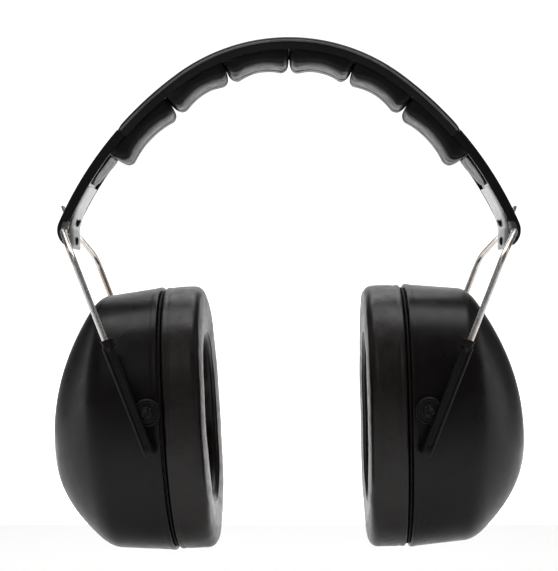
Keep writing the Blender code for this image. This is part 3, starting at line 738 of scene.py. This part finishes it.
def strip_rows(line, half_widths, thickness, rounding):
    """Rows of points round a strip with eased edges that follows a line of (x, z) points."""
    rows = []
    for i, (point, half_width) in enumerate(zip(line, half_widths)):
        before = Vector(line[max(i - 1, 0)])
        after = Vector(line[min(i + 1, len(line) - 1)])
        ahead = (after - before).normalized()
        up = Vector((-ahead.y, ahead.x))
        half = thickness / 2
        section = ((-half_width, half - rounding), (-half_width + rounding, half), (-half_width / 3, half),
                   (half_width / 3, half), (half_width - rounding, half), (half_width, half - rounding),
                   (half_width, -half + rounding), (half_width - rounding, -half), (half_width / 3, -half),
                   (-half_width / 3, -half), (-half_width + rounding, -half), (-half_width, -half + rounding))
        rows.append([(point[0] + up.x * t, y, point[1] + up.y * t) for y, t in section])
    return rows


def softened(line, count=4):
    """The same line with its corners cut, so that bends look pressed and not kinked."""
    line = [Vector(point) for point in line]
    for _ in range(count):
        finer = [line[0]]
        for a, b in zip(line, line[1:]):
            finer += [a * 0.75 + b * 0.25, a * 0.25 + b * 0.75]
        line = finer + [line[-1]]
    return line


def closer(line, gap):
    """The same line with points added so that none stand further apart than the gap."""
    points = [Vector(line[0])]
    for a, b in zip(line, line[1:]):
        pieces = int((b - a).length / gap) + 1
        points += [a + (b - a) * i / pieces for i in range(1, pieces + 1)]
    return points


def inward_at_hinge(side):
    """The direction towards the head at the hinge, as X and Z."""
    outer = Vector(band_point(side * HINGE_RUN))
    inner = Vector(band_point(side * HINGE_RUN, MM))
    return (inner - outer).normalized()


def clip_line(side):
    """The clip's middle line: flat on the spring, over the crossbar, then a tongue that hangs down."""
    inward = inward_at_hinge(side)
    hinge = Vector(band_point(side * HINGE_RUN, HINGE_INSET))
    clear = inward * (WIRE_RADIUS + CROSSBAR_CLEARANCE + CLIP_THICKNESS / 2)
    back_up = side * Vector((-inward.y, inward.x)) * -CLIP_LEAD
    line = [band_point(side * run, CLIP_SEAT) for run in steps(CLIP_START, SPRING_END, 3)]
    line.append(hinge + clear + back_up)
    line.append(hinge + clear)
    line.append(hinge + clear + Vector((-side * 0.2 * MM, -TONGUE_LENGTH / 2)))
    line.append(hinge + clear + Vector((-side * 0.3 * MM, -TONGUE_LENGTH)))
    return line


def rivet_axis(side, place):
    """A rivet's foot at the end cap and its direction towards the head."""
    if place == "upper":
        run = side * (HINGE_RUN - RIVET_OFFSET)
        foot = on_band(run, 0.0, CAP_WEB_INNER + 0.3 * MM)
        return foot, (on_band(run, 0.0, CAP_DEPTH) - foot).normalized()
    x, z = band_point(side * HINGE_RUN, HINGE_INSET)
    return Vector((x + side * LOWER_RIVET_OUT, 0.0, z - LOWER_RIVET_DROP)), Vector((-side, 0.0, 0.0))


def make_hinge(name, side):
    """The steel clip, its two rivets and the small bent tab."""
    line = closer(softened(clip_line(side), 3), 0.4 * MM)
    tip = line[-1].y
    widths = [CLIP_HALF_WIDTH - 1.2 * MM * (1.0 - smooth(tip, tip + 1.6 * MM, point.y)) for point in line]
    clip = Shape().rows(strip_rows(line, widths, CLIP_THICKNESS, 0.18 * MM), ends="flat")
    add(f"{name}_clip", clip.mesh("clip", 50.0), STEEL_LOOK, "headband", [f"{name}_hinge_clip"])
    for place, grip in RIVET_GRIPS.items():
        foot, ahead = rivet_axis(side, place)
        head = RIVET_HEAD_RADIUS
        profile = [(0.15 * MM, grip + 0.85 * MM), (0.7 * MM, grip + 0.82 * MM), (1.25 * MM, grip + 0.68 * MM),
                   (1.6 * MM, grip + 0.45 * MM), (head, grip + 0.12 * MM), (head - 0.05 * MM, grip),
                   (RIVET_RADIUS, grip), (RIVET_RADIUS, 0.0)]
        turn = ahead.to_track_quat("Z", "Y").to_matrix().to_4x4()
        rivet = Shape().rows(turned(profile, 28), ends="fan").move(Matrix.Translation(foot) @ turn)
        add(f"{name}_{place}_rivet_head", rivet.mesh("rivet"), MOULDED_LOOK, "headband",
            [f"{name}_{place}_rivet"])
    seat = CAP_OUTER - 0.3 * MM - TAB_THICKNESS / 2
    root = Vector(band_point(side * TAB_RUN, seat))
    outward = -(Vector(band_point(side * TAB_RUN, MM)) - Vector(band_point(side * TAB_RUN))).normalized()
    line = [Vector(band_point(side * (TAB_RUN - 3.0 * MM), seat)), root, root + outward * TAB_REACH * 0.45,
            root + outward * TAB_REACH * 0.75 + Vector((0.0, TAB_RISE))]
    line = softened(line, 2)
    tab = Shape().rows(strip_rows(line, [TAB_HALF_WIDTH] * len(line), TAB_THICKNESS, 0.22 * MM), ends="flat")
    add(f"{name}_tab", tab.mesh("tab", 50.0), STEEL_LOOK, "headband", [f"{name}_lock_tab"])


# ---- Wires, sleeves and studs ----

def arm_point(side, front, height):
    """The point at this height on the middle of an arm."""
    x = side * (ARM_X[side] - (ARM_X_HEIGHT - height) * tan(ARM_LEAN))
    return Vector((x, front * ARM_Y, height))


def make_wire(name, side):
    """One bent wire: the crossbar in the hinge, two shoulders and two straight arms."""
    x, z = band_point(side * HINGE_RUN, HINGE_INSET)
    place = Vector((x, 0.0, z))
    corners = [arm_point(side, -1, ARM_BOTTOM), arm_point(side, -1, ARM_TOP),
               place + Vector((0.0, -CROSSBAR_HALF, 0.0)), place + Vector((0.0, CROSSBAR_HALF, 0.0)),
               arm_point(side, 1, ARM_TOP), arm_point(side, 1, ARM_BOTTOM)]
    wire = Shape().rows(tube_rows(rounded_path(corners, WIRE_BEND, 12), WIRE_RADIUS), ends="fan")
    add(f"{name}_wire", wire.mesh("wire", 60.0), WIRE_LOOK, f"{name}_yoke", [f"{name}_wire_yoke"])


def sleeve_section(width, depth, rounding, groove):
    """Points (across, outward) of a bar whose outer face has a rounded groove, 40 in all."""
    w = width / 2
    d = depth / 2
    section = []
    for cx, cy, start in ((w - rounding, d - rounding, 0.0), (-w + rounding, d - rounding, pi / 2),
                          (-w + rounding, -d + rounding, pi), (w - rounding, -d + rounding, 1.5 * pi)):
        for i in range(5):
            angle = start + pi / 2 * i / 4
            section.append((cx + rounding * cos(angle), cy + rounding * sin(angle)))
        if start == 0.0:
            for i in range(20):
                x = (1.0 - 2.0 * (i + 0.5) / 20) * (w - rounding)
                wall = smooth(1.05 * MM, 0.7 * MM, abs(x)) if abs(x) < 1.05 * MM else 0.0
                section.append((x, d - groove * wall))
    return section


def make_sleeve(name, side, place, front):
    """The sliding bar with its groove, collar and pivot ear, made with Z up the arm, then leant."""
    half = SLEEVE_LENGTH / 2
    heights = [(-half, 0.45), (-half + 0.12 * MM, 0.2), (-half + 0.45 * MM, 0.0)]
    heights += [(z, 0.0) for z in steps(-half + 2 * MM, -half + 6.5 * MM, 10)]
    heights += [(z, 0.0) for z in steps(-half + 6.5 * MM, half - 6.5 * MM, 6)[1:]]
    heights += [(z, 0.0) for z in steps(half - 6.5 * MM, half - 2 * MM, 10)[1:]]
    rows = []
    for z, inset in heights:
        run_out = smooth(half - 2.5 * MM, half - GROOVE_END, abs(z)) if abs(z) > half - GROOVE_END else 1.0
        section = sleeve_section(SLEEVE_WIDTH - 2 * inset * MM, SLEEVE_DEPTH - 2 * inset * MM, 0.8 * MM,
                                 GROOVE_DEPTH * run_out)
        rows.append([(x, front * y, z) for x, y in section])
    shape = Shape().rows(rows, ends="flat")
    collar = []
    low = half - COLLAR_HEIGHT
    for z, grow in ((low, -0.35), (low + 0.3 * MM, 0.0), (half - 0.1 * MM, 0.0), (half + 0.02 * MM, 0.3),
                    (half + 0.4 * MM, 0.3), (half + 0.52 * MM, 0.05)):
        section = sleeve_section(COLLAR_WIDTH + 2 * grow * MM, COLLAR_DEPTH + 2 * grow * MM, 1.1 * MM, 0.0)
        collar.append([(x - side * COLLAR_OFFSET, front * y, z) for x, y in section])
    top = [Vector((x, y)).normalized() * SLEEVE_BORE for x, y, z in collar[-1]]
    collar.append([(x, y, half + 0.5 * MM) for x, y in top])
    collar.append([(x, y, half - 1.5 * MM) for x, y in top])
    shape.rows(collar, ends="flat")

    middle = arm_point(side, front, (SLEEVE_TOP + SLEEVE_BOTTOM) / 2)
    pivot = Vector((side * PIVOT_X[side], front * ARM_Y, PIVOT_Z[name])) - middle
    pivot.rotate(Matrix.Rotation(-side * ARM_LEAN, 3, "Y"))
    ear = [(2.2, 0.0), (2.2, 2.0), (3.3, 2.0), (3.5, 1.75), (4.4, 1.75), (4.6, 2.15), (4.8, 2.3), (5.1, 2.3),
           (5.3, 2.15), (5.4, 1.8), (5.4, 0.2), (5.2, 0.0)]
    rows = []
    for row in turned([(r * MM, h * MM) for r, h in ear], 48):
        rows.append([(pivot.x + x, front * (EAR_INNER_Y + h - ARM_Y), pivot.z + y) for x, y, h in row])
    shape.rows(rows, wrap=True)
    shape.move(Matrix.Translation(middle) @ Matrix.Rotation(side * ARM_LEAN, 4, "Y"))
    add(f"{name}_{place}_slide_bar", shape.mesh("slide_bar", 38.0), MOULDED_LOOK, f"{name}_slider",
        [f"{name}_{place}_sleeve"])


def make_stud(name, side, place, front):
    """The pivot stud: a low round head with a slot, over the ear's hole."""
    profile = [(0.2, 4.55), (1.6, 4.5), (2.15, 4.35), (2.4, 4.0), (2.45, 3.6), (2.4, 2.92), (1.9, 2.9),
               (1.9, 0.0)]
    rows = turned([(r * MM, h * MM) for r, h in profile], 40)
    for row in rows[:4]:
        for i, (x, y, h) in enumerate(row):
            row[i] = (x, y, h - 0.55 * MM * (1.0 - smooth(0.3 * MM, 0.55 * MM, abs(x))))
    stud = Shape().rows(rows, ends="fan")
    stand = Matrix.Translation((side * PIVOT_X[side], front * STUD_INNER_Y, PIVOT_Z[name]))
    turn = Matrix.Rotation(-front * pi / 2, 4, "X") @ Matrix.Rotation(side * STUD_SLOT_TURN, 4, "Z")
    stud.move(stand @ turn)
    add(f"{name}_{place}_stud", stud.mesh("stud", 35.0), MOULDED_LOOK, f"{name}_cup",
        [f"{name}_{place}_pivot_stud"])


# ---- Ear cups ----

def cup_place(name):
    """Puts a cup's own frame (seam at X = 0, dome towards +X) where the cup stands."""
    turn = Matrix.Rotation(TURNS[name], 4, "Z") @ Matrix.Rotation(LEANS[name], 4, "Y")
    return Matrix.Translation(SEAMS[name]) @ turn


def oval(halves, scale, count=96):
    """Y and Z pairs round an oval that is a little squarer than an ellipse."""
    pairs = []
    for i in range(count):
        angle = 2.0 * pi * i / count
        y = copysign(abs(cos(angle)) ** (2.0 / OVAL_POWER), cos(angle))
        z = copysign(abs(sin(angle)) ** (2.0 / OVAL_POWER), sin(angle))
        pairs.append((halves[0] * scale * y, halves[1] * scale * z))
    return pairs


def wall_scale(depth):
    """How big the oval is at this depth of the wall, which tapers a little for the mould."""
    return 1.0 - WALL_TAPER * depth / WALL_DEPTH


def dome_stage(shrink):
    """The dome's depth, scale and drop where its oval has shrunk to this share of the wall's."""
    return (WALL_DEPTH + DOME_HEIGHT * (1.0 - shrink ** DOME_POWER), wall_scale(WALL_DEPTH) * shrink,
            DOME_DROP * (1.0 - shrink))


def shell_stages():
    """The shell's outer face as (depth, scale, drop), from the rim to the dome's top."""
    stages = []
    lip = SHELL_LIP
    for u in (0.0, 0.06, 0.25, 0.55, 0.8, 1.4, 1.9, 2.3, 2.6, 3.0, 4.0, 7.0, 11.0, 15.0, 19.0, 21.0):
        depth = u * MM
        inset = lip - sqrt(lip ** 2 - (lip - depth) ** 2) if depth < lip else 0.0
        proud = 0.12 * MM * (1.0 - smooth(1.9 * MM, 2.9 * MM, depth))
        stages.append((depth, wall_scale(depth) + (proud - inset) / CUP_HALVES[1], 0.0))
    start = (WALL_END, wall_scale(WALL_END), 0.0)
    bend = (WALL_DEPTH, wall_scale(WALL_DEPTH), 0.0)
    end = dome_stage(0.92)
    for i in range(9):
        t = i / 8
        stages.append(tuple((1 - t) ** 2 * a + 2 * t * (1 - t) * b + t * t * c
                            for a, b, c in zip(start, bend, end)))
    stages += [dome_stage(0.92 * (1.0 - i / 25)) for i in range(1, 25)]
    return stages


def make_shell(name):
    """The hollow shell: rim, wall and dome, with the inside following the outside."""
    outer = shell_stages()
    inner = []
    for depth, scale, drop in outer[4::2]:
        down = SHELL_THICKNESS * smooth(19 * MM, 27 * MM, depth)
        inner.append((depth - down, max(scale - SHELL_THICKNESS / CUP_HALVES[1], 0.02), drop))
    inner.insert(0, (0.0, inner[0][1], 0.0))
    stages = list(reversed(outer)) + inner
    rows = [[(depth, y, z - drop) for y, z in oval(CUP_HALVES, scale)] for depth, scale, drop in stages]
    shell = Shape().rows(rows, ends="fan").move(cup_place(name))
    add(f"{name}_shell", shell.mesh("shell", 50.0), SHELL_LOOK, f"{name}_cup", [f"{name}_cup_shell"])


def make_plate(name):
    """The thin seal plate between shell and cushion, a little smaller than both."""
    rows = []
    for x, scale in ((-0.3, 0.97), (-0.45, 0.975), (-1.15, 0.975), (-1.3, 0.97)):
        rows.append([(x * MM, y, z) for y, z in oval(CUP_HALVES, scale)])
    for x, scale in ((-1.3, 1.01), (-1.15, 1.0), (-0.45, 1.0), (-0.3, 1.01)):
        rows.append([(x * MM, y, z) for y, z in oval(HOLE_HALVES, scale)])
    plate = Shape().rows(rows, wrap=True).move(cup_place(name))
    add(f"{name}_plate", plate.mesh("plate"), PLATE_LOOK, f"{name}_cup", [f"{name}_seal_plate"])


def cushion_section():
    """The cushion's section before it is filled: (inwards from its rim, out from its back), in mm."""
    section = [(c, 0.0) for c in steps(19.0, 2.0, 8)]
    section += [(1.3, 0.02), (0.75, 0.2), (0.4, 0.55)]
    section += [(0.35, d) for d in (1.0, 1.4, 1.8, 2.2, 2.6, 3.1, 3.8, 5.0, 6.4, 7.8, 9.2, 10.4, 11.2)]
    for i in range(1, 8):
        angle = pi / 2 * i / 8
        section.append((0.35 + 4.0 * (1 - cos(angle)), 11.4 + 3.6 * sin(angle)))
    section += [(4.4 + t * 12.0, 15.0 + 0.5 * sin(pi * t)) for t in steps(0.0, 1.0, 10)]
    section += [(16.9, 14.98), (17.4, 14.9), (17.9, 14.8), (18.4, 14.6), (18.9, 14.3)]
    for i in range(1, 7):
        angle = pi / 2 * i / 6
        section.append((18.9 + 1.9 * sin(angle), 12.4 + 1.9 * cos(angle)))
    section += [(20.8, d) for d in (10.4, 8.4, 6.4, 4.4, 2.6, 1.4)]
    section += [(20.7, 0.7), (20.3, 0.2), (19.7, 0.02)]
    return section


def make_cushion(name):
    """The soft ring: skin welded to its back and round its hole, filled between."""
    count = 112
    rim = oval(CUP_HALVES, 1.0, count)
    hole = oval(HOLE_HALVES, 1.0, count)
    rows = []
    pins = {}
    caps = []
    lifts = []
    index = 0
    for c, d in cushion_section():
        row = []
        share = c / CUSHION_WIDTH
        for i, ((y, z), (v, w)) in enumerate(zip(rim, hole)):
            row.append((-CUSHION_BACK - d * MM, y + (v - y) * share, z + (w - z) * share))
            if d < 0.8:
                pins[index] = 1.0
            elif 17.8 < c < 19.0 and d > 14.0:
                pins[index] = 0.85
            caps.append(1.1 * MM)
            angle = 2.0 * pi * i / count
            weld = 0.0
            if c < 1.0:
                weld = 0.1 * exp(-((d - 1.3) / 0.55) ** 2) - 0.16 * exp(-((d - 2.4) / 0.5) ** 2)
            ridge = 0.45 * exp(-((c - 18.4) / 0.55) ** 2) if d > 12.0 else 0.0
            patch = smooth(0.05, 0.5, noise.noise(Vector((3.0 * cos(angle), 3.0 * sin(angle), 5.0 + share))))
            folds = noise.noise(Vector((11.0 * cos(angle), 11.0 * sin(angle), d * 0.22)))
            wrinkle = 0.55 * patch * folds * (exp(-((c - 2.5) / 4.0) ** 2) if d > 7.0 else 0.0)
            uneven = 0.28 * noise.noise(Vector((2.6 * cos(angle), 2.6 * sin(angle), d * 0.12)))
            uneven *= smooth(2.5, 6.0, d)
            lifts.append((weld + ridge + wrinkle + uneven) * MM)
            index += 1
        rows.append(row)
    shape = Shape().rows(rows, wrap=True).move(cup_place(name))
    cushion = add(f"{name}_cushion", shape.mesh("cushion", 180.0), CUSHION_LOOK, f"{name}_cup",
                  [f"{name}_ear_cushion"])
    soft(cushion, pins, caps, lifts, 5.0)


def make_liner(name):
    """The foam block, slightly pillowed and rough where it shows through the cushion's hole."""
    rows = []
    for scale in (0.03, 0.1, 0.2, 0.3, 0.4, 0.5, 0.6, 0.7, 0.8, 0.88, 0.94, 0.975):
        row = []
        for y, z in oval(LINER_HALVES, scale):
            dimple = 0.5 * MM * noise.noise(Vector((y * 140.0, z * 140.0, 3.0)))
            row.append((4.6 * MM + dimple + 0.8 * MM * scale ** 4, y, z))
        rows.append(row)
    for x, scale in ((6.0, 0.995), (8.0, 1.0), (14.0, 1.0), (17.0, 0.99), (17.8, 0.97), (18.0, 0.9),
                     (18.0, 0.4), (18.0, 0.03)):
        rows.append([(x * MM, y, z) for y, z in oval(LINER_HALVES, scale)])
    liner = Shape().rows(rows, ends="fan").move(cup_place(name))
    block = add(f"{name}_foam_block", liner.mesh("liner", 60.0), FOAM_LOOK, f"{name}_cup",
                [f"{name}_foam_liner"])


# ---- Studio ----

def stage_piece(name, points, faces, look):
    """A piece of the studio, which is no part of the object."""
    mesh = bpy.data.meshes.new(name)
    mesh.from_pydata(points, [], faces)
    mesh.materials.append(look)
    item = bpy.data.objects.new(name, mesh)
    bpy.context.scene.collection.objects.link(item)
    return mesh


def glowing_paper():
    """The backdrop's material: it glows in the middle, and dims and darkens aside and upwards."""
    look = Look("backdrop_glow", (1.0, 1.0, 1.0), 0.9)
    look.set(Specular_IOR_Level=0.0, Emission_Color=(1.0, 1.0, 1.0, 1.0))
    nodes = look.tree.nodes
    split = nodes.new("ShaderNodeSeparateXYZ")
    aside = nodes.new("ShaderNodeMath")
    aside.operation = "ABSOLUTE"
    look.link(look.place, split.inputs["Vector"])
    look.link(split.outputs["X"], aside.inputs[0])
    glow = look.spread(aside.outputs["Value"], *BACKDROP_GLOW, *BACKDROP_FADE)
    tone = look.spread(split.outputs["Z"], *BACKDROP_TONES, FLOOR_Z + 0.01, FLOOR_Z + 0.3)
    for result in (glow, tone):
        result.node.interpolation_type = "SMOOTHSTEP"
    look.link(glow, look.shader.inputs["Emission Strength"])
    look.link(tone, look.shader.inputs["Base Color"])
    return look.material


def make_studio():
    """A pale floor, a glowing paper sweep behind it, and soft lights."""
    floor = Look("pale_floor", (0.93, 0.93, 0.93), 0.9).set(Specular_IOR_Level=0.1)
    corners = [(-4, -4, FLOOR_Z), (4, -4, FLOOR_Z), (4, 4, FLOOR_Z), (-4, 4, FLOOR_Z)]
    stage_piece("floor", corners, [(0, 1, 2, 3)], floor.material)
    sweep = [(x, y, FLOOR_Z + rise) for y, rise in BACKDROP_LINE
             for x in (-BACKDROP_HALF_WIDTH, BACKDROP_HALF_WIDTH)]
    faces = [(2 * i, 2 * i + 1, 2 * i + 3, 2 * i + 2) for i in range(len(BACKDROP_LINE) - 1)]
    stage_piece("backdrop", sweep, faces, glowing_paper()).shade_smooth()

    world = bpy.data.worlds.new("studio")
    bpy.context.scene.world = world
    world.use_nodes = True
    world.node_tree.nodes["Background"].inputs["Color"].default_value = (1.0, 0.96, 0.93, 1.0)
    world.node_tree.nodes["Background"].inputs["Strength"].default_value = 0.1

    add_light("top_soft", (0.0, 0.15, 0.95), (0.0, 0.0, 0.03), 1.2, 1.0, 12.5)
    add_light("left_soft", (-0.95, 0.2, 0.2), (0.0, 0.0, 0.0), 0.3, 0.9, 1.0)
    add_light("right_soft", (0.95, 0.2, 0.2), (0.0, 0.0, 0.0), 0.3, 0.9, 1.0)
    add_light("front_fill", (-0.3, -1.1, 0.7), (0.0, 0.0, 0.03), 0.4, 0.4, 0.6)


def add_light(name, place, target, width, height, power):
    """A soft rectangular lamp that the camera doesn't see; power is in watts."""
    lamp = bpy.data.lights.new(name, "AREA")
    lamp.shape = "RECTANGLE"
    lamp.size = width
    lamp.size_y = height
    lamp.energy = power
    item = bpy.data.objects.new(name, lamp)
    item.location = place
    item.rotation_euler = (Vector(target) - Vector(place)).to_track_quat("-Z", "Y").to_euler()
    item.visible_camera = False
    bpy.context.scene.collection.objects.link(item)


def make_camera():
    """A level camera straight in front, shifted so that the whole object is in view."""
    lens = bpy.data.cameras.new("camera")
    lens.sensor_fit = "HORIZONTAL"
    lens.sensor_width = SENSOR_WIDTH
    lens.lens = SENSOR_WIDTH * CAMERA_DISTANCE / VIEW_WIDTH
    lens.shift_x = VIEW_CENTRE[0] / VIEW_WIDTH
    lens.shift_y = (VIEW_CENTRE[1] - CAMERA_Z) / VIEW_WIDTH
    lens.clip_start = 0.01
    camera = bpy.data.objects.new("camera", lens)
    camera.location = (0.0, -CAMERA_DISTANCE, CAMERA_Z)
    camera.rotation_euler = (pi / 2, 0.0, 0.0)
    bpy.context.scene.collection.objects.link(camera)
    bpy.context.scene.camera = camera
    bpy.context.scene.view_settings.view_transform = "Standard"


def dress_cad_nodes():
    """The spring's plain strip is its real shape, so its CAD solid shows, in brushed steel."""
    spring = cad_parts["headband_spring"]
    spring.data.materials.clear()
    spring.data.materials.append(STEEL_LOOK)


make_camera()
make_studio()
dress_cad_nodes()
make_cover()
make_pads()
for cup_name, cup_side in SIDES.items():
    make_end_cap(cup_name, cup_side)
    make_hinge(cup_name, cup_side)
    make_wire(cup_name, cup_side)
    for end_name, end_front in FRONTS.items():
        make_sleeve(cup_name, cup_side, end_name, end_front)
        make_stud(cup_name, cup_side, end_name, end_front)
    make_shell(cup_name)
    make_plate(cup_name)
    make_cushion(cup_name)
    make_liner(cup_name)
fill_soft_pieces()
